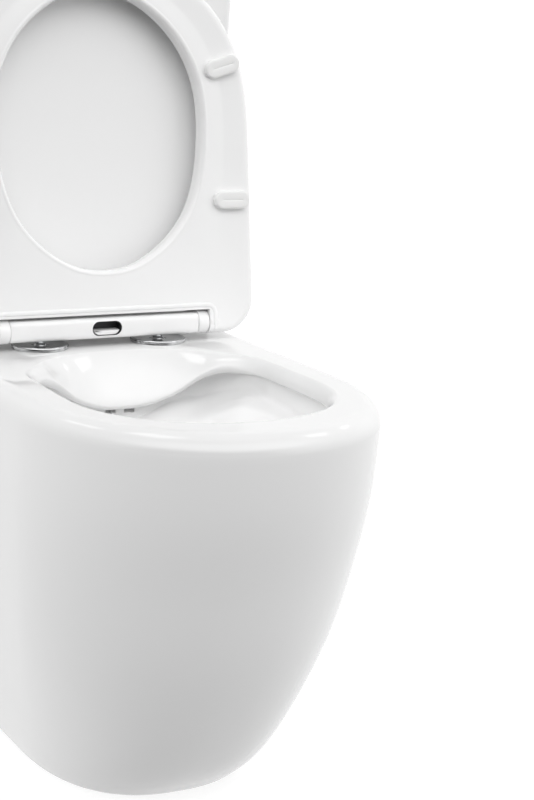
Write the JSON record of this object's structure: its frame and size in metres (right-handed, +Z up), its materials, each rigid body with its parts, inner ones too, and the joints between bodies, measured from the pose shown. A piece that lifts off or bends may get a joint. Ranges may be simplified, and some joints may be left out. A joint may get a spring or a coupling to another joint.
{
  "type": "close coupled toilet",
  "caption": "White rimless close coupled toilet: skirted ceramic pan with bowl, trap and outlet, cistern with flush and fill valves, hinged seat and cover raised.",
  "frame": {"origin": "on the floor, under the centre of the whole footprint, halfway between the front of the bowl and the wall plane", "axes": "+Z up, the user sits on the -Y side and the wall is on the +Y side, X across"},
  "size_m": [0.382, 0.6678, 0.8621],
  "materials": {
    "vitreous_china": "high gloss white glaze",
    "white_seat_plastic": "gloss white thermoset",
    "bumper_plastic": "satin white soft plastic",
    "polished_chrome": "bright plated",
    "plated_steel": "bright zinc",
    "black_rubber": "matt",
    "fitting_plastic": "natural moulded",
    "damper_plastic": "moulded"
  },
  "bodies": {
    "base": {"pan_rim": "vitreous_china", "pan_deck": "vitreous_china", "pan_skirt": "vitreous_china", "pan_bowl": "vitreous_china", "pan_trap": "vitreous_china", "pan_flush_duct": "vitreous_china", "pan_flush_outlet_wall": "vitreous_china", "cistern": "vitreous_china", "cistern_lid": "vitreous_china", "hinge_bar": "white_seat_plastic", "side_screw_caps": "white_seat_plastic", "hinge_rosettes": "polished_chrome", "button_bezel": "polished_chrome", "hinge_posts": "plated_steel", "seat_fixing_studs": "plated_steel", "coupling_bolts": "plated_steel", "coupling_plate_washers": "plated_steel", "coupling_wing_nuts": "plated_steel", "floor_brackets": "plated_steel", "bracket_side_screws": "plated_steel", "cistern_pads": "black_rubber", "coupling_washer": "black_rubber", "coupling_cone_washers": "black_rubber", "flush_valve_washer": "black_rubber", "fill_valve_washer": "black_rubber", "seat_fixing_washers": "black_rubber", "flush_valve_base": "fitting_plastic", "flush_valve_tower": "fitting_plastic", "flush_valve_backnut": "fitting_plastic", "fill_valve_body": "fitting_plastic", "fill_valve_backnut": "fitting_plastic", "button_nut": "fitting_plastic", "seat_fixing_nuts": "fitting_plastic", "soft_close_dampers": "damper_plastic"},
    "cover": {"seat_cover": "white_seat_plastic", "cover_bumpers": "bumper_plastic"},
    "seat": {"seat_ring": "white_seat_plastic", "seat_bumpers": "bumper_plastic", "hinge_pins": "plated_steel"},
    "release": {"release_tab": "white_seat_plastic"},
    "full_button": {"full_flush_button": "polished_chrome", "full_push_rod": "fitting_plastic"},
    "half_button": {"half_flush_button": "polished_chrome", "half_push_rod": "fitting_plastic"},
    "flush_lift": {"flush_lift_tube": "fitting_plastic", "flush_valve_seal": "black_rubber"},
    "float": {"fill_valve_float": "fitting_plastic"}
  },
  "joints": [
    {"name": "cover_hinge", "type": "hinge", "parent": "base", "child": "cover", "pos_m": [0, 0.0945, 0.45], "axis": [1, 0, 0], "range_deg": [0, 97.5]},
    {"name": "seat_hinge", "type": "hinge", "parent": "base", "child": "seat", "pos_m": [0, 0.0945, 0.45], "axis": [1, 0, 0], "range_deg": [0, 97.5]},
    {"name": "release_slide", "type": "slide", "parent": "base", "child": "release", "axis": [0, 0, 1], "range_m": [0, 0.005], "stiffness_N_per_m": 200, "springref_m": -0.002},
    {"name": "full_flush_press", "type": "slide", "parent": "base", "child": "full_button", "axis": [0, 0, -1], "range_m": [0, 0.006], "stiffness_N_per_m": 400, "springref_m": -0.004},
    {"name": "half_flush_press", "type": "slide", "parent": "base", "child": "half_button", "axis": [0, 0, -1], "range_m": [0, 0.006], "stiffness_N_per_m": 400, "springref_m": -0.004},
    {"name": "flush_lift_slide", "type": "slide", "parent": "base", "child": "flush_lift", "axis": [0, 0, 1], "range_m": [0, 0.018]},
    {"name": "float_rise", "type": "slide", "parent": "base", "child": "float", "axis": [0, 0, 1], "range_m": [0, 0.085]}
  ],
  "couplings": [
    {"joint": "seat_hinge", "follows": "cover_hinge", "ratio": 1},
    {"joint": "flush_lift_slide", "follows": "full_flush_press", "ratio": 3}
  ]
}
